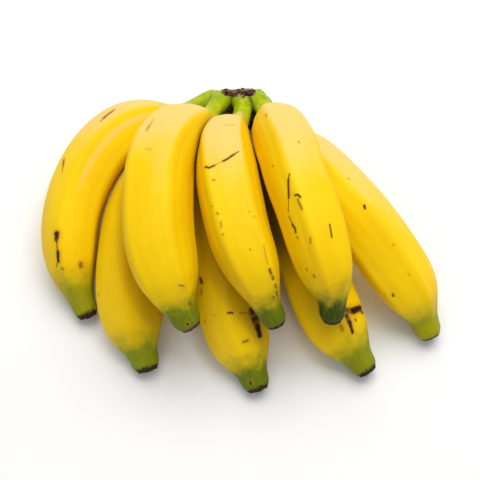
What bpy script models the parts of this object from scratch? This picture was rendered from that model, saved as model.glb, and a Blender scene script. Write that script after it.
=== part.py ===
"""Hand of eight short, plump, ridged bananas on one crown, lying on a surface.

Five fruits make the lower layer: their tips and the foot of the crown rest on
the surface and their backs arch up. Three more lie nested on top of them.
Every fruit is one solid from its green pedicel to the scar at its tip.

Lengths in the tables are millimetres: X to the right, Y back towards the
crown, Z up, with the surface at Z = 0.
"""
import bmesh
import bpy
import numpy as np

MM = 0.001

# ---------------------------------------------------------------- dimensions
FLOOR_MIDDLE = (0.133, 10.800)  # X, Y of the middle of the outer box
SIDES = 15                    # points round a fruit, three to each of its five ridges
RINGS = 27                    # sections along a fruit
HALF_GAP = 0.27               # half of the space left between pressed neighbours
ROOT_GAP = 0.3                # space between a pedicel's end and the crown

FULL_R = 18.5                 # radius that the profile below is written for

# distance from the crown -> radius, over the pedicel and the shoulder
SHOULDER = ((0, 5.5), (10, 5.2), (18, 6.0), (26, 9.8), (36, 14.4), (49, 17.4), (68, 18.5))
# distance back from the tip -> radius, over the taper and the bottle neck
TAPER = ((58, 18.5), (46, 18.3), (36, 17.5), (27, 15.8), (18, 12.2), (10, 8.7), (3, 7.5), (0, 6.9))

# strength of the five ridges: first, second and third harmonic
RIDGE = (0.050, 0.016, 0.006)

# name: middle line from the crown to the tip, full radius, stretch of the
# shoulder, stretch of the taper, turn of the ridges in degrees
FRUITS = {
    "banana_lower_1": (((-17, 92, 21), (-24, 88, 22), (-33, 80.5, 25), (-44, 74.6, 29),
                        (-57, 70.2, 32), (-70, 62, 33), (-82, 47.6, 32), (-90.2, 30.3, 29),
                        (-94.8, 10, 24), (-94.5, -9, 18), (-90.3, -26, 11), (-85.5, -38, 6)),
                       16.3, 1.15, 1.15, 4),
    "banana_lower_2": (((-11, 86, 11), (-14.5, 78.5, 15), (-27.4, 68.1, 19), (-42.6, 47.8, 24),
                        (-53.7, 20.9, 26), (-59.2, -3, 25), (-60.2, -25, 21), (-58.6, -43, 15),
                        (-55, -57, 10), (-51, -69, 6)),
                       18.3, 1.2, 0.92, 0),
    "banana_lower_3": (((0, 86, 11), (-1, 74, 16), (-6.8, 50, 24), (-11, 23, 28),
                        (-9, -2, 28), (-6, -26, 25), (-2, -47, 18), (4, -64, 11),
                        (10, -80, 6)),
                       18.1, 1.0, 0.9, 12),
    "banana_lower_4": (((9.5, 86, 11), (11.5, 76, 13), (18.5, 57, 16), (26.5, 31, 17),
                        (34, 3, 18), (42, -22, 19), (51, -44, 16), (61, -58, 11),
                        (70, -70, 6)),
                       17.8, 0.95, 0.92, 0),
    "banana_lower_5": (((15, 86, 21), (19, 77, 25), (28, 58, 31), (40, 39, 38),
                        (55, 20, 40), (69, 3, 37), (82, -13, 29), (93.6, -28, 21),
                        (101, -39, 12), (106.2, -50, 6)),
                       17.6, 1.05, 1.0, -2),
    "banana_upper_1": (((-11, 86, 31), (-15, 78, 34), (-19, 70, 38), (-25, 61, 46),
                        (-31, 52, 54), (-37.5, 41, 61), (-42.7, 26, 65), (-44, 8, 65),
                        (-42.7, -15, 62), (-37.4, -34, 56), (-32, -46, 49), (-26, -55, 42)),
                       18.5, 1.05, 1.05, -19),
    "banana_upper_2": (((1, 86, 31), (1.8, 78, 34), (0.4, 70, 37), (-2.6, 62, 42.5),
                        (-5.8, 53.5, 50.5), (-8.1, 43, 58.3), (-8.3, 32, 64), (-6.8, 18, 68),
                        (-3.8, 2, 69), (0.6, -16, 67), (7.9, -33, 61), (13.2, -45, 53),
                        (18.8, -55, 45)),
                       16.3, 1.2, 1.18, -28),
    "banana_upper_3": (((10, 86, 32), (13, 79, 35), (16, 72, 39), (18, 65, 46),
                        (20, 57, 54), (22.8, 46, 61), (26.8, 32, 67), (30, 17, 70),
                        (34.5, 3, 70), (40, -15, 67), (45.2, -33, 60), (47.8, -43, 52),
                        (48, -52, 43)),
                       16.1, 1.0, 1.08, 15),
}

# crown: a thick pad, its front and sides flat where the pedicels meet it, its
# cut face sloping down and back from the top
CROWN_FRONT_Y = 86.0
CROWN_SIDE_X = 17.0
CROWN_ROUNDING = 1.6          # of the edges
CROWN_POINTS = (
    (-12, 86.0, 0), (12, 86.0, 0), (-17, 86.0, 5), (20, 86.0, 15),
    (-17, 86.0, 32), (20, 86.0, 25), (-13, 86.0, 38), (13, 86.0, 38),
    (-17, 98.0, 10), (15, 97.0, 10), (-17, 98.0, 28), (15, 96.0, 27),
    (-11, 101.0, 0), (11, 101.0, 0), (-12, 105.0, 8), (11, 105.0, 8),
    (-12, 103.5, 18), (11, 103.5, 18), (-11, 90.0, 39), (11, 90.0, 39),
)

# skin colours, as linear values
SKIN = {
    "banana_lower_1": (0.86, 0.60, 0.035),
    "banana_lower_2": (0.70, 0.44, 0.020),
    "banana_lower_3": (0.66, 0.41, 0.022),
    "banana_lower_4": (0.66, 0.42, 0.020),
    "banana_lower_5": (0.82, 0.57, 0.030),
    "banana_upper_1": (0.88, 0.60, 0.025),
    "banana_upper_2": (0.84, 0.52, 0.025),
    "banana_upper_3": (0.88, 0.58, 0.030),
}
CROWN_COLOUR = (0.060, 0.034, 0.014)


# ------------------------------------------------------------------ geometry
def spline_weights(knots, at):
    """Rows of weights that give a natural cubic spline at the values in `at`."""
    m = len(knots)
    h = np.diff(knots)
    a = np.zeros((m, m))
    b = np.zeros((m, m))
    a[0, 0] = a[-1, -1] = 1.0
    for i in range(1, m - 1):
        a[i, i - 1:i + 2] = h[i - 1], 2 * (h[i - 1] + h[i]), h[i]
        b[i, i - 1:i + 2] = 6 / h[i - 1], -6 / h[i - 1] - 6 / h[i], 6 / h[i]
    bend = np.linalg.solve(a, b)
    k = np.clip(np.searchsorted(knots, at) - 1, 0, m - 2)
    hk = h[k][:, None]
    lo = (knots[k + 1] - at)[:, None]
    hi = (at - knots[k])[:, None]
    one = np.eye(m)
    return (bend[k] * lo ** 3 / (6 * hk) + bend[k + 1] * hi ** 3 / (6 * hk)
            + (one[k] / hk - bend[k] * hk / 6) * lo
            + (one[k + 1] / hk - bend[k + 1] * hk / 6) * hi)


def middle_line(points, count):
    """Smooth line through the points, sampled evenly by length."""
    p = np.array(points, float)
    knots = np.r_[0, np.cumsum(np.linalg.norm(np.diff(p, axis=0), axis=1) ** 0.75)]
    fine = np.linspace(0, knots[-1], 600)
    q = spline_weights(knots, fine) @ p
    run = np.r_[0, np.cumsum(np.linalg.norm(np.diff(q, axis=0), axis=1))]
    at = np.interp(np.linspace(0, run[-1], count), run, fine)
    return spline_weights(knots, at) @ p, run[-1]


def smooth_through(xs, ys, x):
    """Curve through the rows of a table that never overshoots between them."""
    xs, ys = np.array(xs, float), np.array(ys, float)
    h = np.diff(xs)
    d = np.diff(ys) / h
    m = np.zeros(len(xs))
    m[0], m[-1] = d[0], d[-1]
    for i in range(1, len(xs) - 1):
        if d[i - 1] * d[i] > 0:
            w1, w2 = 2 * h[i] + h[i - 1], h[i] + 2 * h[i - 1]
            m[i] = (w1 + w2) / (w1 / d[i - 1] + w2 / d[i])
    k = np.clip(np.searchsorted(xs, x) - 1, 0, len(xs) - 2)
    t = (x - xs[k]) / h[k]
    return (ys[k] * (1 + 2 * t) * (1 - t) ** 2 + m[k] * h[k] * t * (1 - t) ** 2
            + ys[k + 1] * t * t * (3 - 2 * t) + m[k + 1] * h[k] * t * t * (t - 1))


def radius_along(s, length, full, shoulder, taper):
    """Radius of a fruit at the distances s from the crown."""
    k = full / FULL_R
    xs = [a * shoulder for a, _ in SHOULDER] + [length - a * taper for a, _ in TAPER]
    ys = [b if b < 6.5 else b * k for _, b in SHOULDER] + [b * k for _, b in TAPER]
    return smooth_through(xs, ys, s)


def directions(line):
    """Tangent, upper normal and side of a line, turning as little as possible."""
    t = np.gradient(line, axis=0)
    t /= np.linalg.norm(t, axis=1)[:, None]
    n = np.zeros_like(t)
    v = np.array([0.0, 0.0, 1.0])
    for i in range(len(t)):
        v = v - (v @ t[i]) * t[i]
        v /= np.linalg.norm(v)
        n[i] = v
    return t, n, np.cross(t, n)


def section(angle):
    """Rounded five-sided outline: radius factor at an angle from a ridge."""
    return (1 + RIDGE[0] * np.cos(5 * angle) + RIDGE[1] * np.cos(10 * angle)
            + RIDGE[2] * np.cos(15 * angle))


def fruit_rings(name):
    points, full, shoulder, taper, turn = FRUITS[name]
    line, length = middle_line(points, RINGS)
    s = np.linspace(0, length, RINGS)
    r = radius_along(s, length, full, shoulder, taper)
    _, n, b = directions(line)
    a = np.arange(SIDES) * 2 * np.pi / SIDES + np.radians(turn)
    # the ridges fade out on the round pedicel and on the tip
    fade = np.clip((s - 14) / 30, 0, 1) * np.clip((length - s) / 22, 0.25, 1)
    k = 1 + fade[:, None] * (section(a - np.radians(turn))[None] - 1)
    out = np.cos(a)[None, :, None] * n[:, None] + np.sin(a)[None, :, None] * b[:, None]
    return line, line[:, None] + (r[:, None] * k)[..., None] * out


def dense_line(name):
    """Closely spaced middle points and radii, which stand for the fruit's body."""
    points, full, shoulder, taper, _ = FRUITS[name]
    line, length = middle_line(points, 220)
    return line, radius_along(np.linspace(0, length, 220), length, full, shoulder, taper)


def reach(p, body):
    """How far p is out of a body, as a squared measure, and its nearest middle."""
    line, r = body
    d = ((p[:, None] - line[None]) ** 2).sum(2) - r[None] ** 2
    k = d.argmin(1)
    return d[np.arange(len(p)), k], line[k]


def press(name, line, rings, bodies):
    """Flatten a fruit where it meets a neighbour, each giving way evenly."""
    shape = rings.shape
    centre = np.repeat(line[:, None], shape[1], axis=1).reshape(-1, 3)
    p = rings.reshape(-1, 3).copy()
    arm = p - centre
    for other, body in bodies.items():
        if other == name:
            continue
        low, high = np.zeros(len(p)), np.ones(len(p))

        def clear(scale):
            q = centre + arm * scale[:, None]
            mine, c1 = reach(q, bodies[name])
            theirs, c2 = reach(q, body)
            apart = np.linalg.norm(c1 - c2, axis=1)
            return theirs - mine >= 2 * apart * HALF_GAP

        free = clear(high)
        for _ in range(22):
            mid = (low + high) / 2
            ok = clear(mid)
            low = np.where(ok, mid, low)
            high = np.where(ok, high, mid)
        arm = arm * np.where(free, 1.0, low)[:, None]
    return (centre + arm).reshape(shape)


def meet_crown(rings):
    """Lay the first ring flat against the crown's front or side."""
    first = rings[0]
    if first[:, 1].mean() > CROWN_FRONT_Y + 2:
        first[:, 0] = -(CROWN_SIDE_X + ROOT_GAP)
    else:
        first[:, 1] = CROWN_FRONT_Y - ROOT_GAP
    return rings


def add_object(name, verts, faces, colour, roughness):
    mesh = bpy.data.meshes.new(name)
    v = np.array(verts, float)
    v[:, 2] = np.maximum(v[:, 2], 0.0)          # what meets the surface lies flat on it
    v[:, 0] -= FLOOR_MIDDLE[0]
    v[:, 1] -= FLOOR_MIDDLE[1]
    mesh.from_pydata((v * MM).tolist(), [], faces)
    bm = bmesh.new()
    bm.from_mesh(mesh)
    bmesh.ops.recalc_face_normals(bm, faces=bm.faces)
    bm.to_mesh(mesh)
    bm.free()
    mesh.shade_smooth()
    mesh.set_sharp_from_angle(angle=np.radians(50))
    material = bpy.data.materials.new(name + "_skin")
    material.use_nodes = True
    shader = material.node_tree.nodes["Principled BSDF"]
    shader.inputs["Base Color"].default_value = (*colour, 1.0)
    shader.inputs["Roughness"].default_value = roughness
    shader.inputs["Metallic"].default_value = 0.0
    mesh.materials.append(material)
    obj = bpy.data.objects.new(name, mesh)
    bpy.context.scene.collection.objects.link(obj)
    return obj


def add_fruit(name, bodies):
    line, rings = fruit_rings(name)
    rings = meet_crown(press(name, line, rings, bodies))
    n = SIDES
    verts = [tuple(p) for ring in rings for p in ring]
    faces = []
    for i in range(RINGS - 1):
        for j in range(n):
            a, b = i * n + j, i * n + (j + 1) % n
            faces += [(a, b, b + n), (a, b + n, a + n)]
    # flat root, and a low dome for the scar at the tip
    root = len(verts)
    verts.append(tuple(rings[0].mean(0)))
    faces += [(root, (j + 1) % n, j) for j in range(n)]
    end = rings[-1]
    middle = end.mean(0)
    ahead = line[-1] - line[-2]
    ahead /= np.linalg.norm(ahead)
    start = len(verts)
    verts += [tuple(middle + 0.62 * (p - middle) + 1.6 * ahead) for p in end]
    for j in range(n):
        a, b = (RINGS - 1) * n + j, (RINGS - 1) * n + (j + 1) % n
        c, d = start + j, start + (j + 1) % n
        faces += [(a, b, d), (a, d, c)]
    peak = len(verts)
    verts.append(tuple(middle + 2.0 * ahead))
    faces += [(start + j, start + (j + 1) % n, peak) for j in range(n)]
    return add_object(name, verts, faces, SKIN[name], 0.42)


def add_crown():
    bm = bmesh.new()
    for p in CROWN_POINTS:
        bm.verts.new(p)
    hull = bmesh.ops.convex_hull(bm, input=bm.verts)
    spare = [e for e in hull["geom_interior"] if isinstance(e, bmesh.types.BMVert)]
    bmesh.ops.delete(bm, geom=spare, context="VERTS")
    bmesh.ops.dissolve_limit(bm, angle_limit=np.radians(1), verts=bm.verts, edges=bm.edges)
    bmesh.ops.bevel(bm, geom=bm.edges[:], offset=CROWN_ROUNDING, segments=2,
                    profile=0.5, affect="EDGES", clamp_overlap=True)
    bmesh.ops.remove_doubles(bm, verts=bm.verts, dist=0.05)
    bmesh.ops.triangulate(bm, faces=bm.faces)
    bm.verts.ensure_lookup_table()
    bm.verts.index_update()
    verts = [tuple(v.co) for v in bm.verts]
    faces = [tuple(v.index for v in f.verts) for f in bm.faces]
    bm.free()
    return add_object("crown", verts, faces, CROWN_COLOUR, 0.85)


def main():
    for obj in list(bpy.data.objects):
        bpy.data.objects.remove(obj, do_unlink=True)
    bodies = {name: dense_line(name) for name in FRUITS}
    add_crown()
    for name in FRUITS:
        add_fruit(name, bodies)


main()
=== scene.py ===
"""Looks for a hand of eight short, plump, ridged bananas on one crown.

Every fruit is rebuilt as a fine mesh along the same middle line as its solid,
with rounded ridges, pressed flats, shallow dents and a dried tip. Colours and
marks come from shader nodes.

Lengths in the tables are millimetres in the hand's design frame: X right,
Y back to the crown, Z up. SHIFT brings them to the row frame.
"""
import math

import bmesh
import bpy
import numpy as np
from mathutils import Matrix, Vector
from mathutils.bvhtree import BVHTree


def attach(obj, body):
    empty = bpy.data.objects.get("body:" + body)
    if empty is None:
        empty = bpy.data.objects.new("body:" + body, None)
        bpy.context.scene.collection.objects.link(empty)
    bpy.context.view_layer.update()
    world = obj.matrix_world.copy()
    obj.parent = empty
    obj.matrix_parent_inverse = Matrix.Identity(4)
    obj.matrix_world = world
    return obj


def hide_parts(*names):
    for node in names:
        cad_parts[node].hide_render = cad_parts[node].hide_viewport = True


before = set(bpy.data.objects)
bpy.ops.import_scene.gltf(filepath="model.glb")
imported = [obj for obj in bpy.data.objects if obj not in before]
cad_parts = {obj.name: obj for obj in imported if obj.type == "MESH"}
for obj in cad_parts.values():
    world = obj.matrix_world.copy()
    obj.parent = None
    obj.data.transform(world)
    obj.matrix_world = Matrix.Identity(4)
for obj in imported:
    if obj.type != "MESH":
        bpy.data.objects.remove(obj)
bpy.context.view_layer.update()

MM = 0.001
SHIFT = np.array([0.133, 10.800, 0.0])

# ------------------------------------------------------------------ the fruit
SIDES = 160
RINGS = 322

FULL_R = 18.5
SHOULDER = ((0, 5.5), (10, 5.2), (18, 6.0), (26, 9.8), (36, 14.4), (49, 17.4), (68, 18.5))
TAPER = ((58, 18.5), (46, 18.3), (36, 17.5), (27, 15.8), (18, 12.2), (10, 8.7), (3, 7.5), (0, 6.9))
RIDGE = (0.050, 0.016, 0.006)
HALF_GAP = 0.16
CROWN_FRONT_Y = 86.0

# name: middle line, full radius, stretch of shoulder, stretch of taper, ridge turn
FRUITS = {
    "banana_lower_1": (((-17, 92, 21), (-24, 88, 22), (-33, 80.5, 25), (-44, 74.6, 29),
                        (-57, 70.2, 32), (-70, 62, 33), (-82, 47.6, 32), (-90.2, 30.3, 29),
                        (-94.8, 10, 24), (-94.5, -9, 18), (-90.3, -26, 11), (-85.5, -38, 6)),
                       16.3, 1.15, 1.15, 4),
    "banana_lower_2": (((-11, 86, 11), (-14.5, 78.5, 15), (-27.4, 68.1, 19), (-42.6, 47.8, 24),
                        (-53.7, 20.9, 26), (-59.2, -3, 25), (-60.2, -25, 21), (-58.6, -43, 15),
                        (-55, -57, 10), (-51, -69, 6)),
                       18.3, 1.2, 0.92, 0),
    "banana_lower_3": (((0, 86, 11), (-1, 74, 16), (-6.8, 50, 24), (-11, 23, 28),
                        (-9, -2, 28), (-6, -26, 25), (-2, -47, 18), (4, -64, 11),
                        (10, -80, 6)),
                       18.1, 1.0, 0.9, 12),
    "banana_lower_4": (((9.5, 86, 11), (11.5, 76, 13), (18.5, 57, 16), (26.5, 31, 17),
                        (34, 3, 18), (42, -22, 19), (51, -44, 16), (61, -58, 11),
                        (70, -70, 6)),
                       17.8, 0.95, 0.92, 0),
    "banana_lower_5": (((15, 86, 21), (19, 77, 25), (28, 58, 31), (40, 39, 38),
                        (55, 20, 40), (69, 3, 37), (82, -13, 29), (93.6, -28, 21),
                        (101, -39, 12), (106.2, -50, 6)),
                       17.6, 1.05, 1.0, -2),
    "banana_upper_1": (((-11, 86, 31), (-15, 78, 34), (-19, 70, 38), (-25, 61, 46),
                        (-31, 52, 54), (-37.5, 41, 61), (-42.7, 26, 65), (-44, 8, 65),
                        (-42.7, -15, 62), (-37.4, -34, 56), (-32, -46, 49), (-26, -55, 42)),
                       18.5, 1.05, 1.05, -19),
    "banana_upper_2": (((1, 86, 31), (1.8, 78, 34), (0.4, 70, 37), (-2.6, 62, 42.5),
                        (-5.8, 53.5, 50.5), (-8.1, 43, 58.3), (-8.3, 32, 64), (-6.8, 18, 68),
                        (-3.8, 2, 69), (0.6, -16, 67), (7.9, -33, 61), (13.2, -45, 53),
                        (18.8, -55, 45)),
                       16.3, 1.2, 1.18, -28),
    "banana_upper_3": (((10, 86, 32), (13, 79, 35), (16, 72, 39), (18, 65, 46),
                        (20, 57, 54), (22.8, 46, 61), (26.8, 32, 67), (30, 17, 70),
                        (34.5, 3, 70), (40, -15, 67), (45.2, -33, 60), (47.8, -43, 52),
                        (48, -52, 43)),
                       16.1, 1.0, 1.08, 15),
}

# per fruit: brightness of the yellow (partly the fruit's own tone, partly painted light:
# a little higher on the lower fruits against the shade they lie in), warmth, how much of
# the tip is green (mm), how much of the pedicel is green (mm), seed, colour of the green tip
TINT = {
    "banana_lower_1": (1.03, 0.25, 23, 36, 1, (0.300, 0.290, 0.004)),
    "banana_lower_2": (1.02, 0.35, 18, 40, 2, (0.220, 0.250, 0.004)),
    "banana_lower_3": (1.05, 0.25, 17, 62, 3, (0.130, 0.170, 0.003)),
    "banana_lower_4": (1.05, 0.20, 20, 46, 4, (0.230, 0.250, 0.004)),
    "banana_lower_5": (1.05, 0.25, 19, 28, 5, (0.340, 0.320, 0.003)),
    "banana_upper_1": (0.99, 0.40, 17, 24, 6, (0.150, 0.185, 0.004)),
    "banana_upper_2": (0.97, 0.50, 17, 24, 7, (0.110, 0.145, 0.003)),
    "banana_upper_3": (0.99, 0.40, 18, 24, 8, (0.036, 0.064, 0.001)),
}

# painted sheen bands: middle and half width in degrees round the fruit, from and to in
# mm from the crown, and how pale
SHEEN_BAND = {
    "banana_lower_1": ((-20, 15, 30, 135, 0.76),),
    "banana_lower_5": ((-44, 24, 25, 130, 0.74),),
    "banana_upper_1": ((-2, 16, 30, 120, 0.72),),
    "banana_upper_2": ((2, 22, 40, 105, 0.72),),
    "banana_upper_3": ((-73, 12, 40, 145, 0.80), (-21, 22, 30, 95, 0.74)),
}

# painted shade in the creases: over how many mm from a neighbour the peel is painted
# deeper, the painted shade's tone there, and how many mm from the crown the back lies
# deep under other fruits and is painted in shade
CREASE_SHADE = {
    "banana_lower_1": (1.5, (0.14, 0.050, 0.001), 0),
    "banana_lower_2": (3.0, (0.27, 0.115, 0.001), 0),
    "banana_lower_3": (3.4, (0.23, 0.110, 0.001), 64),
    "banana_lower_4": (3.4, (0.065, 0.048, 0.001), 116),
    "banana_lower_5": (1.2, (0.20, 0.075, 0.001), 0),
    "banana_upper_1": (0.8, (0.14, 0.050, 0.001), 0),
    "banana_upper_2": (0.8, (0.14, 0.050, 0.001), 0),
    "banana_upper_3": (0.8, (0.14, 0.050, 0.001), 0),
}

# a little extra fullness on one side: middle and half width in degrees, from
# and to in mm from the crown, and how many mm
FULLER = {
    "banana_lower_1": (-98, 36, 42, 118, 0.9),
    "banana_lower_2": (82, 42, 30, 105, 2.4),
}

# the dried end: from and to in mm before the tip, where it fades into green
DRY = {
    "banana_lower_1": (0.8, 2.8),
    "banana_lower_2": (0.4, 2.4),
    "banana_lower_3": (0.2, 1.8),
    "banana_lower_4": (0.6, 2.6),
    "banana_lower_5": (-0.9, 0.5),
    "banana_upper_1": (-0.2, 1.3),
    "banana_upper_2": (-0.2, 1.2),
    "banana_upper_3": (0.2, 1.9),
}

# ----------------------------------------------------------------- the camera
ELEVATION = 68.0
DISTANCE = 560.0
FOCAL_PX = 1000.0
AIM = np.array([0.0, 0.0, 25.0]) - SHIFT
_e = math.radians(ELEVATION)
FORWARD = np.array([0.0, math.cos(_e), -math.sin(_e)])
UP = np.array([0.0, math.sin(_e), math.cos(_e)])
RIGHT = np.array([1.0, 0.0, 0.0])
EYE = AIM - FORWARD * DISTANCE


def sight(px, py):
    """Direction from the camera through a point of the 480 x 480 frame."""
    d = FORWARD + RIGHT * ((px - 240.0) / FOCAL_PX) + UP * ((240.0 - py) / FOCAL_PX)
    return d / np.linalg.norm(d)


def add_camera():
    data = bpy.data.cameras.new("camera")
    data.sensor_width = 36.0
    data.lens = 36.0 * FOCAL_PX / 480.0
    data.clip_start = 0.01
    data.clip_end = 20.0
    cam = bpy.data.objects.new("camera", data)
    bpy.context.scene.collection.objects.link(cam)
    cam.location = EYE * MM
    cam.rotation_euler = Vector(FORWARD).to_track_quat("-Z", "Y").to_euler()
    bpy.context.scene.camera = cam


# ------------------------------------------------------------------- geometry
def spline_weights(knots, at):
    m = len(knots)
    h = np.diff(knots)
    a = np.zeros((m, m))
    b = np.zeros((m, m))
    a[0, 0] = a[-1, -1] = 1.0
    for i in range(1, m - 1):
        a[i, i - 1:i + 2] = h[i - 1], 2 * (h[i - 1] + h[i]), h[i]
        b[i, i - 1:i + 2] = 6 / h[i - 1], -6 / h[i - 1] - 6 / h[i], 6 / h[i]
    bend = np.linalg.solve(a, b)
    k = np.clip(np.searchsorted(knots, at) - 1, 0, m - 2)
    hk = h[k][:, None]
    lo = (knots[k + 1] - at)[:, None]
    hi = (at - knots[k])[:, None]
    one = np.eye(m)
    return (bend[k] * lo ** 3 / (6 * hk) + bend[k + 1] * hi ** 3 / (6 * hk)
            + (one[k] / hk - bend[k] * hk / 6) * lo
            + (one[k + 1] / hk - bend[k + 1] * hk / 6) * hi)


def middle_line(points, count):
    p = np.array(points, float)
    knots = np.r_[0, np.cumsum(np.linalg.norm(np.diff(p, axis=0), axis=1) ** 0.75)]
    fine = np.linspace(0, knots[-1], 600)
    q = spline_weights(knots, fine) @ p
    run = np.r_[0, np.cumsum(np.linalg.norm(np.diff(q, axis=0), axis=1))]
    at = np.interp(np.linspace(0, run[-1], count), run, fine)
    return spline_weights(knots, at) @ p, run[-1]


def smooth_through(xs, ys, x):
    xs, ys = np.array(xs, float), np.array(ys, float)
    h = np.diff(xs)
    d = np.diff(ys) / h
    m = np.zeros(len(xs))
    m[0], m[-1] = d[0], d[-1]
    for i in range(1, len(xs) - 1):
        if d[i - 1] * d[i] > 0:
            w1, w2 = 2 * h[i] + h[i - 1], h[i] + 2 * h[i - 1]
            m[i] = (w1 + w2) / (w1 / d[i - 1] + w2 / d[i])
    k = np.clip(np.searchsorted(xs, x) - 1, 0, len(xs) - 2)
    t = (x - xs[k]) / h[k]
    return (ys[k] * (1 + 2 * t) * (1 - t) ** 2 + m[k] * h[k] * t * (1 - t) ** 2
            + ys[k + 1] * t * t * (3 - 2 * t) + m[k + 1] * h[k] * t * t * (t - 1))


def radius_along(s, length, full, shoulder, taper):
    k = full / FULL_R
    xs = [a * shoulder for a, _ in SHOULDER] + [length - a * taper for a, _ in TAPER]
    ys = [b if b < 6.5 else b * k for _, b in SHOULDER] + [b * k for _, b in TAPER]
    return smooth_through(xs, ys, s)


def directions(line):
    t = np.gradient(line, axis=0)
    t /= np.linalg.norm(t, axis=1)[:, None]
    n = np.zeros_like(t)
    v = np.array([0.0, 0.0, 1.0])
    for i in range(len(t)):
        v = v - (v @ t[i]) * t[i]
        v /= np.linalg.norm(v)
        n[i] = v
    return t, n, np.cross(t, n)


def section(angle):
    return (1 + RIDGE[0] * np.cos(5 * angle) + RIDGE[1] * np.cos(10 * angle)
            + RIDGE[2] * np.cos(15 * angle))


def rings_of(name, count, sides):
    points, full, shoulder, taper, turn = FRUITS[name]
    line, length = middle_line(points, count)
    s = np.linspace(0, length, count)
    r = radius_along(s, length, full, shoulder, taper)
    t, n, b = directions(line)
    a = np.arange(sides) * 2 * np.pi / sides
    fade = np.clip((s - 14) / 30, 0, 1) * np.clip((length - s) / 22, 0.25, 1)
    k = 1 + fade[:, None] * (section(a - np.radians(turn))[None] - 1)
    out = np.cos(a)[None, :, None] * n[:, None] + np.sin(a)[None, :, None] * b[:, None]
    arm = r[:, None] * k
    if name in FULLER:
        middle, half, first, final, most = FULLER[name]
        turned = (np.degrees(a) - middle + 180) % 360 - 180
        along = np.clip((s - first) / 18, 0, 1) * np.clip((final - s) / 26, 0, 1)
        arm = arm + most * along[:, None] * np.exp(-(turned / half) ** 2)[None]
    return line, length, s, r, a, t, out, arm


def dense_line(name):
    points, full, shoulder, taper, _ = FRUITS[name]
    line, length = middle_line(points, 220)
    return line, radius_along(np.linspace(0, length, 220), length, full, shoulder, taper)


def reach(p, body):
    line, r = body
    d = ((p ** 2).sum(1)[:, None] - 2 * p @ line.T + (line ** 2).sum(1)[None]
         - (r ** 2)[None])
    k = d.argmin(1)
    return d[np.arange(len(p)), k], line[k]


def press(name, line, out, arm, bodies):
    """Share of its length that each arm keeps where a neighbour presses on it."""
    n_ring, n_side = arm.shape
    centre = np.repeat(line[:, None], n_side, axis=1).reshape(-1, 3)
    out = out.reshape(-1, 3)
    arm = arm.reshape(-1)
    keep = np.ones(len(arm))
    for other, body in bodies.items():
        if other == name:
            continue
        far = np.sqrt(((centre[:, None, :] - body[0][None, ::8]) ** 2).sum(2)).min(1)
        near = np.nonzero(far < 44)[0]
        if not len(near):
            continue

        def clear(idx, scale):
            q = centre[idx] + out[idx] * (arm[idx] * scale)[:, None]
            mine, c1 = reach(q, bodies[name])
            theirs, c2 = reach(q, body)
            return theirs - mine >= 2 * np.linalg.norm(c1 - c2, axis=1) * HALF_GAP

        hit = near[~clear(near, np.ones(len(near)))]
        if not len(hit):
            continue
        low, high = np.zeros(len(hit)), np.ones(len(hit))
        for _ in range(14):
            mid = (low + high) / 2
            ok = clear(hit, mid)
            low = np.where(ok, mid, low)
            high = np.where(ok, high, mid)
        keep[hit] = np.minimum(keep[hit], low)
    return keep.reshape(n_ring, n_side)


def enlarge(field, rings, sides):
    """Bilinear enlargement of a field that closes round the fruit."""
    n, m = field.shape
    u = np.linspace(0, n - 1, rings)
    i = np.clip(u.astype(int), 0, n - 2)
    f = (u - i)[:, None]
    rows = field[i] * (1 - f) + field[i + 1] * f
    v = np.arange(sides) * m / sides
    j = v.astype(int)
    g = (v - j)[None]
    return rows[:, j % m] * (1 - g) + rows[:, (j + 1) % m] * g


def soften(field, times):
    for _ in range(times):
        field = (np.roll(field, 1, 1) + 2 * field + np.roll(field, -1, 1)) / 4
        inner = (field[:-2] + 2 * field[1:-1] + field[2:]) / 4
        field = np.vstack([field[:1], inner, field[-1:]])
    return field


def swell(p, seed, size, parts=5):
    """Smooth seeded undulation of about plus or minus one, `size` mm across."""
    rng = np.random.default_rng(seed)
    total = np.zeros(len(p))
    for _ in range(parts):
        way = rng.normal(size=3)
        way /= np.linalg.norm(way)
        total += np.sin(p @ way * (2 * np.pi / (size * rng.uniform(0.8, 1.4)))
                        + rng.uniform(0, 6.28))
    return total / math.sqrt(parts)


def store(mesh, name, values, kind="FLOAT"):
    made = mesh.attributes.new(name, kind, "POINT")
    flat = np.ascontiguousarray(values, np.float32).reshape(-1)
    made.data.foreach_set("value" if kind == "FLOAT" else "vector", flat)


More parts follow.
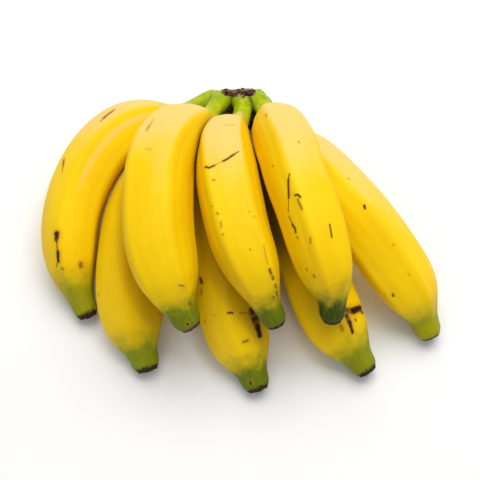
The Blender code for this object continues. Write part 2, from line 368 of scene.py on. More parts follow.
def fruit_mesh(name, bodies):
    seed = TINT[name][4]
    # where neighbours press, worked out coarsely and then enlarged
    line, _, _, _, _, _, out, arm = rings_of(name, 110, 60)
    keep = soften(press(name, line, out, arm, bodies), 1)
    skin = (line[:, None] + (arm * keep)[..., None] * out).reshape(-1, 3)
    # painted shade: how near each place of the peel is to a neighbour, to darken its colour in the
    # creases
    clear = np.full(len(skin), 99.0)
    for other, body in bodies.items():
        if other != name:
            clear = np.minimum(clear, reach(skin, body)[0] / 34.0)
    crease_shade = np.exp(-np.maximum(clear, 0) / CREASE_SHADE[name][0]).reshape(arm.shape)
    # and a lighter painted shadow right under the upper fruits, set a little to one side as if cast
    if name in ("banana_lower_2", "banana_lower_3"):
        for other, (above, r_above) in bodies.items():
            if "upper" in other:
                off = np.sqrt(((skin[:, None, :2] - above[None, :, :2] - [-2.6, -1.0]) ** 2).sum(2))
                under = np.clip(1 - (off - r_above[None]).min(1) / 4, 0, 1).reshape(arm.shape)
                crease_shade = np.maximum(crease_shade, 0.5 * under)
    line, length, s, r, a, t, out, arm = rings_of(name, RINGS, SIDES)
    arm = arm * enlarge(keep, RINGS, SIDES)
    crease_shade = enlarge(soften(crease_shade, 1), RINGS, SIDES)
    # painted shade over the back where it lies deep under other fruits
    deep = np.clip((CREASE_SHADE[name][2] - s) / 26, 0, 1)[:, None] * (np.cos(a) > -0.2)[None]
    crease_shade = np.maximum(crease_shade, soften(deep, 6))

    # shallow dents and fullness along the body, none on the root ring
    unbent = np.stack([np.cos(a)[None] * r[:, None], np.sin(a)[None] * r[:, None],
                       np.repeat(s[:, None], SIDES, 1)], -1)
    flat = unbent.reshape(-1, 3)
    body = np.clip((s - 20) / 30, 0, 1)[:, None] * np.clip((length - s) / 30, 0.15, 1)[:, None]
    wave = swell(flat * [1, 1, 0.45], seed * 10 + 1, 17).reshape(arm.shape)
    small = swell(flat * [1, 1, 0.5], seed * 10 + 2, 6, 7).reshape(arm.shape)
    arm = arm + body * (0.16 * wave + 0.035 * small)
    # the pedicel has soft lengthwise ribs
    ribs = np.sin(5 * a[None] + seed + 0.02 * s[:, None])
    arm = arm + 0.22 * ribs * np.clip((34 - s) / 16, 0, 1)[:, None] * np.clip(s / 6, 0, 1)[:, None]
    # and is a little thinner where the crown's collar holds it
    arm = arm * (1 - 0.14 * np.clip(1 - s / 4.5, 0, 1)[:, None])
    # the last millimetres before the tip pucker
    near_tip = np.clip(1 - (length - s) / 9, 0, 1)[:, None]
    pucker = np.sin(9 * a[None] + seed * 2.1) + 0.6 * np.sin(14 * a[None] + seed)
    arm = arm + 0.16 * pucker * near_tip
    # and its edge is rounded over
    arm = arm * (1 - 0.17 * np.clip(1 - (length - s) / 3.6, 0, 1)[:, None] ** 2)
    p = line[:, None] + arm[..., None] * out

    verts = p.reshape(-1, 3)
    n = SIDES
    rows = np.arange(RINGS - 1)[:, None] * n
    j = np.arange(n)[None]
    k = (j + 1) % n
    quads = np.stack([rows + j, rows + k, rows + n + k, rows + n + j], -1).reshape(-1, 4)

    # the dried end: a low rough button set in the blunt tip
    ahead = t[-1]
    last = p[-1]
    middle = last.mean(0)
    spread = last - middle
    lift = ((0.94, 0.75), (0.85, 1.15), (0.72, 1.25), (0.62, 0.75), (0.50, 0.95),
            (0.36, 1.5), (0.2, 1.75), (0.08, 1.6))
    extra, extra_faces = [], []
    rng = np.random.default_rng(seed + 50)
    start = len(verts)
    before = (RINGS - 1) * n
    jj = np.arange(n)
    for q, (share, up) in enumerate(lift):
        rough = 0.16 * (swell(np.stack([np.cos(jj / n * 6.283) * 5, np.sin(jj / n * 6.283) * 5,
                                        np.full(n, q * 1.3)], -1), seed + 70, 3.0))
        extra.append(middle + share * spread + ahead * (up + rough)[:, None])
        here = start + q * n
        extra_faces.append(np.stack([before + jj, before + (jj + 1) % n,
                                     here + (jj + 1) % n, here + jj], -1))
        before = here
    verts = np.vstack([verts] + extra)
    quads = np.vstack([quads] + extra_faces)
    peak = len(verts)
    verts = np.vstack([verts, [middle + ahead * 1.55], [p[0].mean(0)]])
    tris = [(before + q, before + (q + 1) % n, peak) for q in range(n)]
    tris += [((q + 1) % n, q, peak + 1) for q in range(n)]

    verts[:, 2] = np.maximum(verts[:, 2], 0.02)
    row = verts - SHIFT
    mesh = bpy.data.meshes.new(name + "_peel")
    mesh.from_pydata((row * MM).tolist(), [], quads.tolist() + tris)
    mesh.validate()

    n_extra = len(verts) - len(flat)
    ends = np.full(n_extra, -1.0)
    ends[-1] = length
    to_tip = np.r_[np.repeat(length - s, SIDES), ends]
    from_root = np.r_[np.repeat(s, SIDES), np.full(n_extra, length)]
    from_root[-1] = 0.0
    ridge = np.cos(5 * (a - np.radians(FRUITS[name][4])))
    ridge = np.r_[np.tile(ridge, RINGS), np.zeros(n_extra)]
    extra_unbent = np.zeros((n_extra, 3))
    extra_unbent[:, :2] = row[len(flat):, :2]
    extra_unbent[:, 2] = length + 2
    store(mesh, "to_tip", to_tip)
    store(mesh, "from_root", from_root)
    store(mesh, "ridge", ridge)
    store(mesh, "crease_shade", np.r_[crease_shade.reshape(-1), np.zeros(n_extra)])
    store(mesh, "unbent", np.vstack([flat, extra_unbent]), "FLOAT_VECTOR")
    mesh.shade_smooth()
    # painted sheen: the faces turned up and back, towards the light, are painted palest
    normal = np.zeros(len(verts) * 3, np.float32)
    mesh.vertex_normals.foreach_get("vector", normal)
    painted_sheen = normal.reshape(-1, 3) @ np.array([0.0, 0.8, 0.6])
    # further, fainter bands of painted sheen down a face, where the highlights fall
    for middle, half, first, final, most in SHEEN_BAND.get(name, ()):
        turned = (np.degrees(a) - middle + 180) % 360 - 180
        round_it = np.exp(-(turned / half) ** 2)
        along_it = np.clip((s - first) / 18, 0, 1) * np.clip((final - s) / 40, 0, 1)
        sheen_band = along_it[:, None] * round_it[None]
        sheen_band = np.r_[sheen_band.reshape(-1), np.zeros(n_extra)]
        painted_sheen = painted_sheen + sheen_band * np.maximum(most - painted_sheen, 0)
    store(mesh, "painted_sheen", painted_sheen)
    obj = bpy.data.objects.new(name + "_peel", mesh)
    bpy.context.scene.collection.objects.link(obj)
    return obj


# ------------------------------------------------------------------ materials
class Nodes:
    """Short hand for building a node tree."""

    def __init__(self, name):
        self.material = bpy.data.materials.new(name)
        self.material.use_nodes = True
        self.tree = self.material.node_tree
        self.shader = self.tree.nodes["Principled BSDF"]

    def put(self, socket, value):
        if isinstance(value, bpy.types.NodeSocket):
            self.tree.links.new(value, socket)
        elif isinstance(value, (tuple, list)) and len(value) == 3 and socket.type == "RGBA":
            socket.default_value = (*value, 1.0)
        else:
            socket.default_value = value

    def attribute(self, name, output="Fac"):
        node = self.tree.nodes.new("ShaderNodeAttribute")
        node.attribute_name = name
        return node.outputs[output]

    def math(self, kind, a, b=0.0, c=None, clamp=False):
        node = self.tree.nodes.new("ShaderNodeMath")
        node.operation = kind
        node.use_clamp = clamp
        self.put(node.inputs[0], a)
        self.put(node.inputs[1], b)
        if c is not None:
            self.put(node.inputs[2], c)
        return node.outputs[0]

    def vector(self, kind, a, b=None, scale=None):
        node = self.tree.nodes.new("ShaderNodeVectorMath")
        node.operation = kind
        self.put(node.inputs[0], a)
        if b is not None:
            self.put(node.inputs[1], b)
        if scale is not None:
            self.put(node.inputs["Scale"], scale)
        return node.outputs["Value" if kind in ("DOT_PRODUCT", "LENGTH", "DISTANCE") else "Vector"]

    def noise(self, where, scale, detail=3.0, rough=0.55, output="Fac", lac=2.0):
        node = self.tree.nodes.new("ShaderNodeTexNoise")
        self.put(node.inputs["Vector"], where)
        node.inputs["Scale"].default_value = scale
        node.inputs["Detail"].default_value = detail
        node.inputs["Roughness"].default_value = rough
        node.inputs["Lacunarity"].default_value = lac
        return node.outputs[output]

    def cells(self, where, scale, output="Distance", feature="F1"):
        node = self.tree.nodes.new("ShaderNodeTexVoronoi")
        node.feature = feature
        self.put(node.inputs["Vector"], where)
        node.inputs["Scale"].default_value = scale
        return node.outputs[output]

    def ramp(self, value, low, high, to_low=0.0, to_high=1.0, smooth=True):
        node = self.tree.nodes.new("ShaderNodeMapRange")
        node.interpolation_type = "SMOOTHSTEP" if smooth else "LINEAR"
        self.put(node.inputs["Value"], value)
        node.inputs["From Min"].default_value = low
        node.inputs["From Max"].default_value = high
        node.inputs["To Min"].default_value = to_low
        node.inputs["To Max"].default_value = to_high
        return node.outputs[0]

    def mix(self, share, a, b):
        node = self.tree.nodes.new("ShaderNodeMix")
        node.data_type = "RGBA"
        self.put(node.inputs["Factor"], share)
        self.put(node.inputs[6], a)
        self.put(node.inputs[7], b)
        return node.outputs[2]

    def bump(self, height, strength, distance, under=None):
        node = self.tree.nodes.new("ShaderNodeBump")
        node.inputs["Strength"].default_value = strength
        node.inputs["Distance"].default_value = distance
        self.put(node.inputs["Height"], height)
        if under is not None:
            self.put(node.inputs["Normal"], under)
        return node.outputs[0]


def peel_material(name, marks):
    tone_and_painted_light, warm, tip_green, root_green, seed, tip_tone = TINT[name]
    m = Nodes(name + "_peel")
    coords = m.tree.nodes.new("ShaderNodeTexCoord").outputs["Object"]
    place = m.vector("SCALE", coords, scale=1000.0)          # millimetres
    along = m.attribute("unbent", "Vector")
    moved = m.vector("ADD", along, (seed * 31.0, seed * 17.0, seed * 53.0))
    to_tip = m.attribute("to_tip")
    from_root = m.attribute("from_root")
    ridge = m.attribute("ridge")

    # yellow, with broad patches, lengthwise fibres and a fine mottle
    # the per-fruit brightness scales the yellow; on the lower fruits part of it is painted light
    deep = tuple(c * tone_and_painted_light for c in (0.85, 0.555 - 0.05 * warm, 0.001))
    clear = tuple(c * tone_and_painted_light for c in (0.90, 0.615 - 0.05 * warm, 0.002))
    broad = m.noise(m.vector("MULTIPLY", moved, (1, 1, 0.5)), 0.045, 3.0)
    fibres = m.noise(m.vector("MULTIPLY", moved, (1, 1, 0.06)), 0.9, 3.0)
    mottle = m.noise(moved, 1.1, 4.0, 0.6)
    share = m.ramp(broad, 0.32, 0.68)
    share = m.math("ADD", share, m.ramp(fibres, 0.3, 0.7, -0.12, 0.12, False))
    share = m.math("ADD", share, m.ramp(mottle, 0.3, 0.7, -0.12, 0.12, False), clamp=True)
    colour = m.mix(share, deep, clear)
    # a thin deeper line down the crest of each ridge
    crest = m.ramp(ridge, 0.88, 1.0, 0.0, 0.16)
    colour = m.mix(crest, colour, tuple(c * tone_and_painted_light for c in (0.72, 0.40, 0.004)))
    # painted sheen: palest on the faces turned up and back, towards the light
    turned = m.math("ADD", m.attribute("painted_sheen"), m.ramp(broad, 0.3, 0.7, -0.05, 0.05, False))
    turned = m.math("ADD", turned, m.ramp(mottle, 0.3, 0.7, -0.02, 0.02, False))
    painted_sheen = m.ramp(turned, 0.58, 0.90, 0.0, 0.80)
    colour = m.mix(painted_sheen, colour, (0.80, 0.540, 0.175))

    # painted shade: deeper and browner down in the creases between fruits and under the upper ones
    crease_shade = m.attribute("crease_shade")
    colour = m.mix(m.math("MULTIPLY", crease_shade, 0.80), colour, CREASE_SHADE[name][1])

    # green at both ends, with a wandering edge
    wander = m.ramp(m.noise(moved, 0.16, 3.0), 0.25, 0.75, -4.0, 4.0, False)
    from_end = m.math("ADD", to_tip, wander)
    tip = m.ramp(from_end, tip_green * 0.55, tip_green * 1.45, 1.0, 0.0)
    streak = m.ramp(fibres, 0.35, 0.65, 0.75, 1.25, False)
    tip_colour = m.mix(m.math("MULTIPLY", m.ramp(from_end, tip_green * 0.40, tip_green * 0.95, 1.0, 0.0), streak, clamp=True),
                       tuple(0.55 * c + 0.45 * y for c, y in zip(tip_tone, (0.52, 0.43, 0.003))),
                       tip_tone)
    colour = m.mix(tip, colour, tip_colour)
    root = m.ramp(m.math("ADD", from_root, wander), root_green * 0.55, root_green * 1.30, 1.0, 0.0)
    root_tone = m.ramp(m.noise(moved, 0.35, 4.0), 0.3, 0.7)
    root_colour = m.mix(root_tone, (0.30, 0.38, 0.003), (0.44, 0.49, 0.004))
    # painted shade on the pedicels, darker green down in the creases
    root_colour = m.mix(m.math("MULTIPLY", crease_shade, 0.85), root_colour, (0.030, 0.045, 0.001))
    colour = m.mix(root, colour, root_colour)

    # dried brown end, and a thin dark rim round it
    edge = m.ramp(m.noise(moved, 0.6, 3.0), 0.3, 0.7, -1.0, 1.0, False)
    dry = m.ramp(m.math("ADD", to_tip, edge), *DRY[name], 1.0, 0.0)
    dry_colour = m.mix(m.ramp(m.noise(place, 1.6, 4.0), 0.35, 0.7), (0.014, 0.009, 0.005),
                       (0.085, 0.050, 0.022))
    colour = m.mix(dry, colour, dry_colour)

    # scattered specks, sparse and uneven
    cell = m.cells(moved, 0.16)
    pick = m.cells(moved, 0.16, "Color")
    chosen = m.ramp(m.vector("DOT_PRODUCT", pick, (1.0, 0.0, 0.0)), 0.80, 0.84)
    speck = m.math("MULTIPLY", m.ramp(cell, 0.045, 0.085, 1.0, 0.0), chosen)
    colour = m.mix(m.math("MULTIPLY", speck, 0.55), colour, (0.22, 0.10, 0.010))

    # the larger marks
    ragged = m.noise(place, 1.3, 3.0, 0.6, "Color")
    ragged = m.vector("SUBTRACT", ragged, (0.5, 0.5, 0.5))
    grain = m.noise(place, 2.2, 3.0, 0.6)
    wound = None
    for path, width, rough, strength, tone in marks:
        here = m.vector("ADD", place, m.vector("SCALE", ragged, scale=rough * 2.0))
        found = None
        for (a, b) in zip(path[:-1], path[1:]):
            ab = b - a
            size = max(float(ab @ ab), 1e-4)
            pa = m.vector("SUBTRACT", here, tuple(map(float, a)))
            t = m.math("DIVIDE", m.vector("DOT_PRODUCT", pa, tuple(map(float, ab))), size, clamp=True)
            near = m.vector("SUBTRACT", pa, m.vector("SCALE", tuple(map(float, ab)), scale=t))
            d = m.vector("LENGTH", near)
            found = d if found is None else m.math("MINIMUM", found, d)
        mask = m.ramp(found, width * 0.45, width * 1.15, 1.0, 0.0)
        mask = m.math("MULTIPLY", mask, m.ramp(grain, 0.30, 0.45, 0.9 if strength >= 1 else 0.55, 1.0))
        halo = m.ramp(found, width * 0.8, width * 2.6, 0.34, 0.0)
        colour = m.mix(m.math("MULTIPLY", halo, strength), colour, (0.55, 0.27, 0.010))
        colour = m.mix(m.math("MULTIPLY", mask, strength), colour, tone)
        both = m.math("MULTIPLY", mask, strength)
        wound = both if wound is None else m.math("MAXIMUM", wound, both)

    m.put(m.shader.inputs["Base Color"], colour)
    gloss = m.ramp(mottle, 0.3, 0.7, 0.42, 0.54, False)
    gloss = m.math("SUBTRACT", gloss, m.math("MULTIPLY", root, 0.16))
    gloss = m.math("MAXIMUM", gloss, m.math("MULTIPLY", dry, 0.85))
    if wound is not None:
        gloss = m.math("ADD", gloss, m.math("MULTIPLY", wound, 0.25), clamp=True)
    m.put(m.shader.inputs["Roughness"], gloss)
    m.shader.inputs["Specular IOR Level"].default_value = 0.11
    fine = m.bump(m.noise(m.vector("MULTIPLY", moved, (1, 1, 0.35)), 1.6, 4.0, 0.6), 0.10, 0.0006)
    fine = m.bump(fibres, 0.10, 0.0010, fine)
    if wound is not None:
        fine = m.bump(m.math("MULTIPLY", wound, -1.0), 0.4, 0.0004, fine)
    m.put(m.shader.inputs["Normal"], fine)
    return m.material


# ---------------------------------------------------------------------- marks
DARK = (0.045, 0.020, 0.006)
BROWN = (0.22, 0.095, 0.012)
RUST = (0.36, 0.13, 0.015)
PALE = (0.90, 0.72, 0.30)

# per fruit: points in the 480 x 480 frame, width in mm, raggedness in mm,
# strength, colour
MARKS = {
    "banana_lower_1": [
        (((100.8, 121.2), (104, 118)), 0.7, 0.6, 0.5, BROWN),
        (((104, 118), (107.5, 114.6), (111, 112.2)), 1.15, 0.8, 0.85, (0.15, 0.060, 0.008)),
        (((111, 112.2), (114.4, 109.6)), 0.8, 0.6, 0.8, BROWN),
        (((63.8, 159.5), (63.4, 165)), 1.0, 0.6, 0.85, (0.15, 0.060, 0.008)),
        (((63.4, 165), (62, 172)), 0.6, 0.5, 0.7, BROWN),
        (((55.6, 234), (57.2, 233.4), (56.2, 239)), 1.8, 1.1, 1.0, DARK),
        (((56.8, 240), (57.4, 251)), 0.5, 0.4, 0.9, DARK),
        (((57.8, 252), (58.2, 261)), 1.4, 0.9, 1.0, DARK),
        (((57.5, 262), (56.5, 267)), 0.6, 0.6, 0.7, BROWN),
        (((62, 268.5), (62.8, 269)), 0.8, 0.5, 0.8, BROWN),
        (((80.6, 263.6), (80.9, 266.4)), 1.5, 1.1, 0.85, (0.28, 0.095, 0.010)),
    ],
    "banana_upper_1": [
        (((146.8, 130), (149.2, 126)), 0.9, 0.8, 0.5, BROWN),
        (((149.2, 126), (153.6, 119)), 0.6, 0.7, 0.35, BROWN),
        (((146.5, 149), (151, 149.6)), 0.8, 0.9, 0.25, BROWN),
        (((179.5, 285.5), (184, 286)), 0.6, 0.4, 0.8, RUST),
        (((189.6, 303.7), (190.2, 304.4)), 0.8, 0.4, 0.8, DARK),
        (((187.3, 324), (188, 324.5)), 0.9, 0.4, 0.9, DARK),
    ],
    "banana_upper_2": [
        (((225, 125.3), (234, 124.8)), 0.5, 0.4, 0.45, BROWN),
        (((205.3, 166.9), (209.1, 167.9), (214.1, 165.6)), 0.75, 0.3, 0.9, DARK),
        (((214.1, 165.6), (223.3, 161)), 0.35, 0.3, 0.5, BROWN),
        (((223.3, 161), (228, 158.6), (233.6, 154.6)), 0.75, 0.3, 0.95, DARK),
        (((233.6, 154.6), (238.6, 151.5)), 0.5, 0.3, 0.75, DARK),
        (((213.4, 180), (214, 180.4)), 0.7, 0.3, 0.7, BROWN),
        (((211.4, 206), (212, 206.5)), 0.6, 0.4, 0.5, BROWN),
        (((217, 213.2), (217.8, 214)), 0.7, 0.4, 0.6, BROWN),
        (((220.7, 222), (221.2, 227)), 0.6, 0.5, 0.55, BROWN),
        (((222.8, 234), (223.4, 235)), 0.6, 0.4, 0.5, BROWN),
        (((249.2, 211.4), (249.8, 212)), 0.5, 0.3, 0.45, BROWN),
        (((254, 216.6), (254.4, 217.2)), 0.5, 0.3, 0.4, BROWN),
        (((250.2, 249.4), (250.5, 250)), 0.5, 0.3, 0.6, BROWN),
        (((263.7, 246), (265.5, 255), (267.6, 264)), 0.4, 0.6, 0.45, BROWN),
        (((269.6, 269.5), (271, 273.5)), 0.9, 0.6, 0.8, DARK),
        (((272.4, 276.5), (273.2, 279)), 0.9, 0.6, 0.75, DARK),
        (((275.4, 285), (276.2, 288)), 0.8, 0.6, 0.75, DARK),
        (((276.6, 292), (277.4, 296)), 0.9, 0.6, 0.75, DARK),
        (((273.5, 297), (274.2, 298.5)), 0.8, 0.5, 0.7, BROWN),
    ],
    "banana_upper_3": [
        (((265.8, 114.5), (266.3, 116.5)), 0.6, 0.4, 0.6, BROWN),
        (((298.6, 141.8), (299.2, 142.4)), 0.55, 0.3, 0.7, BROWN),
        (((272.4, 165.8), (272.8, 166.4)), 0.6, 0.3, 0.7, BROWN),
        (((289.4, 174), (288.3, 180)), 0.5, 0.3, 0.85, DARK),
        (((288.3, 180), (288.5, 190), (288.7, 197.5)), 0.85, 0.3, 0.95, DARK),
        (((288.6, 197.5), (288.4, 205), (288.3, 212)), 0.4, 0.3, 0.7, DARK),
        (((289.2, 216.5), (292.5, 224.9)), 0.45, 0.35, 0.75, DARK),
        (((292.5, 224.9), (295, 228.6), (295.6, 232.2)), 0.85, 0.4, 0.9, DARK),
        (((297.4, 237.3), (297.8, 238)), 0.7, 0.4, 0.7, BROWN),
        (((295.2, 195.2), (297.9, 194.7), (300.2, 197)), 0.75, 0.35, 0.95, DARK),
        (((297.5, 199.7), (299.8, 205), (301.7, 209)), 0.8, 0.7, 0.75, BROWN),
        (((329.8, 224.7), (330.8, 231), (331.9, 237)), 0.55, 0.25, 0.9, DARK),
        (((310.2, 238), (310.5, 243)), 0.7, 0.5, 0.6, BROWN),
        (((306.4, 269.2), (306.9, 269.8)), 0.7, 0.4, 0.7, RUST),
        (((313.7, 275.6), (314.4, 276.6)), 0.9, 0.4, 0.8, RUST),
    ],
    "banana_lower_5": [
        (((348.8, 178.3), (349.3, 178.9)), 0.6, 0.3, 0.7, BROWN),
        (((364.3, 205.8), (364.9, 208.2)), 0.8, 0.3, 0.95, DARK),
        (((393.3, 244.6), (393.9, 245.4)), 0.6, 0.4, 0.4, BROWN),
        (((408.8, 274.2), (409.3, 275)), 0.6, 0.4, 0.35, BROWN),
        (((392.8, 294.4), (393.3, 296)), 0.8, 0.4, 0.85, DARK),
        (((395.8, 312.2), (398.6, 316.2)), 1.0, 0.5, 0.9, DARK),
    ],
    "banana_lower_2": [
        (((157.2, 312.8), (157.8, 313.3)), 0.6, 0.3, 0.5, BROWN),
        (((98.7, 294.2), (99.2, 295)), 0.6, 0.3, 0.6, BROWN),
    ],
    "banana_lower_3": [
        (((200.6, 279.5), (201.6, 282)), 1.5, 0.7, 0.9, DARK),
        (((201, 289), (201.4, 294)), 0.8, 0.6, 0.7, BROWN),
        (((204.6, 321), (205, 322)), 0.7, 0.4, 0.6, BROWN),
        (((228.2, 312.9), (232.6, 312.7)), 0.7, 0.3, 0.9, DARK),
        (((240, 312.8), (251, 313.2)), 0.5, 0.7, 0.7, BROWN),
        (((252.8, 312.5), (255.8, 320)), 3.1, 1.0, 1.0, (0.020, 0.008, 0.004)),
        (((255.2, 319), (257.4, 327)), 2.5, 0.9, 1.0, (0.020, 0.008, 0.004)),
        (((257.6, 326), (259.8, 335.5)), 1.9, 0.8, 1.0, (0.026, 0.010, 0.004)),
        (((250.5, 309.5), (253, 313.5)), 1.3, 0.7, 0.9, DARK),
        (((213.8, 314.8), (214.4, 315.4)), 0.6, 0.5, 0.4, BROWN),
        (((243.4, 342), (247.8, 340.4)), 0.9, 0.5, 0.85, RUST),
        (((250.2, 382.5), (250.6, 384)), 1.0, 0.6, 0.9, DARK),
    ],
    "banana_lower_4": [
        (((347.2, 310.8), (353, 311.4)), 2.2, 0.9, 1.0, (0.020, 0.008, 0.004)),
        (((353, 310.6), (360.2, 308.2)), 2.3, 0.9, 1.0, (0.020, 0.008, 0.004)),
        (((361, 312), (363, 312.8)), 0.9, 0.6, 0.8, DARK),
        (((346.8, 316.6), (349.4, 322.4)), 2.1, 0.9, 1.0, (0.040, 0.016, 0.006)),
        (((349.4, 322), (352.4, 331.6)), 1.7, 0.8, 1.0, (0.060, 0.026, 0.008)),
        (((340.8, 326), (342.6, 330)), 1.2, 1.2, 0.6, BROWN),
        (((355.4, 319.6), (355.9, 320.4)), 0.8, 0.4, 0.8, DARK),
    ],
}


def traced(obj, marks):
    """Lays the points of each mark on the fruit by looking from the camera."""
    tree = BVHTree.FromObject(obj, bpy.context.evaluated_depsgraph_get())
    laid = []
    for points, width, rough, strength, tone in marks:
        path = []
        for px, py in points:
            hit = tree.ray_cast(Vector(EYE * MM), Vector(sight(px, py)))[0]
            if hit is not None:
                path.append(np.array(hit) / MM)
        if len(path) == 1:
            path.append(path[0] + np.array([0.2, 0.0, 0.0]))
        if path:
            laid.append((path, width, rough, strength, tone))
    return laid


# ---------------------------------------------------------------------- crown
CUT_FACE = np.array([0.0, 0.809, 0.588])
CUT_AT = (np.array([0.0, 87.5, 37.0]) - SHIFT) @ CUT_FACE
CUT_MIDDLE = (np.array([0.0, 87.5, 37.0]) - SHIFT) @ [0.0, 0.588, -0.809] + 11.5


def crown_mesh():
    """Thick pad with a collar round every pedicel, fused by remeshing."""
    bm = bmesh.new()
    centre = np.array([0.5, 93.8, 19.0])
    ball = bmesh.ops.create_icosphere(bm, subdivisions=5, radius=1.0)
    for v in ball["verts"]:
        d = np.array(v.co)
        k = (abs(d[0]) ** 3.2 + abs(d[1]) ** 3.2 + abs(d[2]) ** 3.2) ** (-1 / 3.2)
        q = centre + d * k * [15.0, 9.6, 19.0]
        # narrower at the top and at the foot
        lift = (q[2] - 19.0) / 19.0
        narrow = 0.42 * lift ** 1.2 if lift > 0 else 0.18 * lift ** 2
        narrow += 0.12 * min(max((q[1] - 92) / 10, 0), 1)
        q[0] = 0.5 + (q[0] - 0.5) * (1 - narrow)
        q[0] -= 0.8 * max(lift, 0.0)
        v.co = q
    # tissue that fills the corner between the outermost pedicel and the next
    web = bmesh.ops.create_icosphere(bm, subdivisions=4, radius=1.0)
    for v in web["verts"]:
        v.co = np.array([-13.4, 90.0, 25.0]) + np.array(v.co) * [4.6, 5.4, 7.5]
    for name, (points, *_rest) in FRUITS.items():
        line, length = middle_line(points, 240)
        step = length / 239
        near = line[: int(11 / step) + 1]
        d0 = near[1] - near[0]
        d0 /= np.linalg.norm(d0)
        path = np.vstack([[near[0] - d0 * q for q in (7.0, 3.5)], near])
        t, n, b = directions(path)
        radii = np.interp(np.linspace(-7, 11, len(path)), [-7, 0, 5, 11], [6.1, 5.9, 5.5, 4.7])
        sides = 32
        rings = []
        for c, nn, bb, rr in zip(path, n, b, radii):
            rings.append([bm.verts.new(c + rr * (math.cos(q * 2 * math.pi / sides) * nn
                                                 + math.sin(q * 2 * math.pi / sides) * bb))
                          for q in range(sides)])
        for r0, r1 in zip(rings[:-1], rings[1:]):
            for q in range(sides):
                w = (q + 1) % sides
                bm.faces.new((r0[q], r0[w], r1[w], r1[q]))
        bm.faces.new(list(reversed(rings[0])))
        bm.faces.new(rings[-1])
    bmesh.ops.recalc_face_normals(bm, faces=bm.faces)
    mesh = bpy.data.meshes.new("crown_pad")
    bm.to_mesh(mesh)
    bm.free()
    obj = bpy.data.objects.new("crown_pad", mesh)
    bpy.context.scene.collection.objects.link(obj)
    remesh = obj.modifiers.new("remesh", "REMESH")
    remesh.mode = "VOXEL"
    remesh.voxel_size = 0.8
    smooth = obj.modifiers.new("smooth", "SMOOTH")
    smooth.factor = 0.5
    smooth.iterations = 7
    done = bpy.data.meshes.new_from_object(
        obj.evaluated_get(bpy.context.evaluated_depsgraph_get()))
    obj.modifiers.clear()
    obj.data = done
    v = np.zeros(len(done.vertices) * 3)
    done.vertices.foreach_get("co", v)
    v = v.reshape(-1, 3)
    # the cut face: sloping down and back, sunken and rough
    height = (v - [0, 87.5, 37.0]) @ CUT_FACE
    target = -0.4 + 0.45 * swell(v, 11, 7.0) + 0.30 * swell(v, 12, 2.6, 8)
    down = np.maximum(height - target, 0)
    # painted shade: how close each place is to the groove between two pedicels, for darkening the colour
    # there
    apart = []
    for points, *_rest in FRUITS.values():
        line, length = middle_line(points, 240)
        near = line[: int(14 * 239 / length) + 1]
        near = np.vstack([near[0] - (near[1] - near[0]) * q for q in (9, 6, 3)] + [near])
        apart.append(np.sqrt(((v[:, None] - near[None]) ** 2).sum(2).min(1)))
    apart = np.sort(np.array(apart), axis=0)
    groove_shade = np.exp(-((apart[1] - apart[0]) / 1.5) ** 2) * np.clip((90.5 - v[:, 1]) / 3, 0, 1)
    v = v - CUT_FACE * down[:, None]
    v[:, 2] = np.maximum(v[:, 2], 0.02)
    v -= SHIFT
    done.vertices.foreach_set("co", (v * MM).reshape(-1))
    store(done, "groove_shade", groove_shade)
    done.update()
    done.shade_smooth()
    done.name = "crown_pad"
    return obj


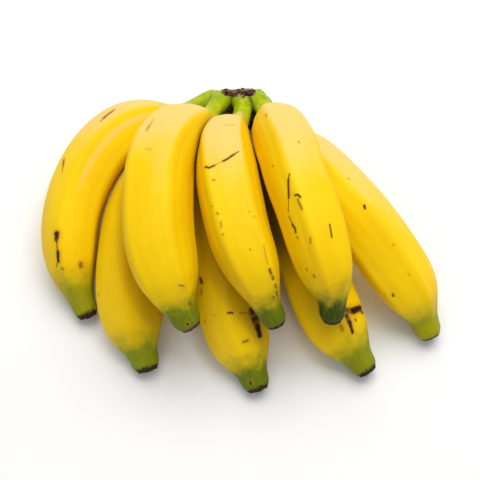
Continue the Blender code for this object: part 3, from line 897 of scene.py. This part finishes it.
def crown_material():
    m = Nodes("crown_pad")
    coords = m.tree.nodes.new("ShaderNodeTexCoord").outputs["Object"]
    place = m.vector("SCALE", coords, scale=1000.0)
    # the cut face: a lens on the plane that slopes down and back
    level = m.vector("DOT_PRODUCT", place, tuple(CUT_FACE))
    sideways = m.math("ABSOLUTE", m.vector("DOT_PRODUCT", m.vector("ADD", place, (1.0, 0.0, 0.0)),
                                           (1.0, 0.0, 0.0)))
    bow = m.math("MULTIPLY", m.math("POWER", sideways, 2.0), 0.014)
    level = m.math("SUBTRACT", m.math("SUBTRACT", level, float(CUT_AT)), bow)
    tone = m.ramp(m.noise(place, 0.25, 4.0), 0.3, 0.7)
    green = m.mix(tone, (0.25, 0.35, 0.004), (0.40, 0.47, 0.005))
    scuff = m.ramp(m.noise(place, 0.5, 4.0, 0.65), 0.56, 0.70)
    green = m.mix(m.math("MULTIPLY", scuff, 0.45), green, (0.17, 0.13, 0.012))
    dark = m.mix(m.ramp(m.noise(place, 0.45, 5.0, 0.65), 0.42, 0.62), (0.012, 0.005, 0.004),
                 (0.11, 0.055, 0.020))
    # and patches of paler fibre
    straw = m.ramp(m.noise(place, 0.22, 4.0, 0.6), 0.50, 0.60)
    dark = m.mix(m.math("MULTIPLY", straw, 0.80), dark, (0.38, 0.235, 0.095))
    edge = m.ramp(m.noise(place, 0.4, 4.0, 0.6), 0.3, 0.7, -0.7, 0.7, False)
    down = m.math("ABSOLUTE", m.math("SUBTRACT", m.vector("DOT_PRODUCT", place, (0.0, 0.588, -0.809)),
                                     float(CUT_MIDDLE)))
    round_it = m.math("ADD", m.math("POWER", m.math("MULTIPLY", m.math("ADD", sideways, edge), 0.1), 3.0),
                      m.math("POWER", m.math("MULTIPLY", m.math("ADD", down, edge), 0.05), 3.0))
    share = m.math("MULTIPLY", m.ramp(m.math("ADD", level, edge), -2.9, -2.3),
                   m.ramp(round_it, 0.98, 1.22, 1.0, 0.0))
    # a thin dry rim where the green skin ends
    rim = m.math("MULTIPLY", m.ramp(share, 0.02, 0.35), m.ramp(share, 0.45, 0.95, 1.0, 0.0))
    # painted shade down the grooves between the pedicels
    green = m.mix(m.math("MULTIPLY", m.attribute("groove_shade"), 0.85), green, (0.030, 0.045, 0.001))
    colour = m.mix(share, green, dark)
    colour = m.mix(m.math("MULTIPLY", rim, 0.7), colour, (0.50, 0.44, 0.16))
    m.put(m.shader.inputs["Base Color"], colour)
    m.put(m.shader.inputs["Roughness"], m.ramp(share, 0.0, 1.0, 0.42, 0.9, False))
    m.shader.inputs["Specular IOR Level"].default_value = 0.12
    grain = m.math("MULTIPLY", m.noise(place, 1.2, 6.0, 0.7), m.ramp(share, 0.0, 1.0, 0.18, 1.0))
    rough = m.bump(grain, 0.5, 0.0012)
    m.put(m.shader.inputs["Normal"], rough)
    return m.material


# ---------------------------------------------------------------------- stage
def add_stage():
    bm = bmesh.new()
    for x, y in ((-4, -4), (4, -4), (4, 4), (-4, 4)):
        bm.verts.new((x, y, 0.0))
    bm.faces.new(bm.verts)
    mesh = bpy.data.meshes.new("floor")
    bm.to_mesh(mesh)
    bm.free()
    floor = bpy.data.objects.new("floor", mesh)
    bpy.context.scene.collection.objects.link(floor)
    m = Nodes("floor")
    coords = m.tree.nodes.new("ShaderNodeTexCoord").outputs["Object"]
    cloud = m.ramp(m.noise(coords, 3.0, 3.0), 0.3, 0.7)
    m.put(m.shader.inputs["Base Color"], m.mix(cloud, (0.85, 0.85, 0.85), (0.87, 0.87, 0.87)))
    m.shader.inputs["Roughness"].default_value = 0.9
    m.shader.inputs["Specular IOR Level"].default_value = 0.1
    mesh.materials.append(m.material)


def add_light(name, place, aim, size, size_y, power, colour=(1, 1, 1)):
    data = bpy.data.lights.new(name, "AREA")
    data.shape = "RECTANGLE"
    data.size, data.size_y = size, size_y
    data.energy = power
    data.color = colour
    light = bpy.data.objects.new(name, data)
    bpy.context.scene.collection.objects.link(light)
    light.location = place
    way = Vector(aim) - Vector(place)
    light.rotation_euler = way.to_track_quat("-Z", "Y").to_euler()


def add_lights():
    world = bpy.data.worlds.new("studio")
    world.use_nodes = True
    world.node_tree.nodes["Background"].inputs[0].default_value = (1.0, 1.0, 1.0, 1.0)
    world.node_tree.nodes["Background"].inputs[1].default_value = 0.53
    bpy.context.scene.world = world
    add_light("key", (0.13, 0.50, 1.22), (0, 0.0, 0.04), 1.2, 1.0, 16.2)


# ----------------------------------------------------------------------- main
def main():
    add_camera()
    add_stage()
    add_lights()
    scene = bpy.context.scene
    scene.view_settings.view_transform = "Standard"
    scene.view_settings.look = "None"

    bodies = {name: dense_line(name) for name in FRUITS}
    for name in FRUITS:
        obj = fruit_mesh(name, bodies)
        obj.data.materials.append(peel_material(name, traced(obj, MARKS.get(name, ()))))
        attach(obj, "root")
        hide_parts(name)
    crown = crown_mesh()
    crown.data.materials.clear()
    crown.data.materials.append(crown_material())
    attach(crown, "root")
    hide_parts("crown")


main()
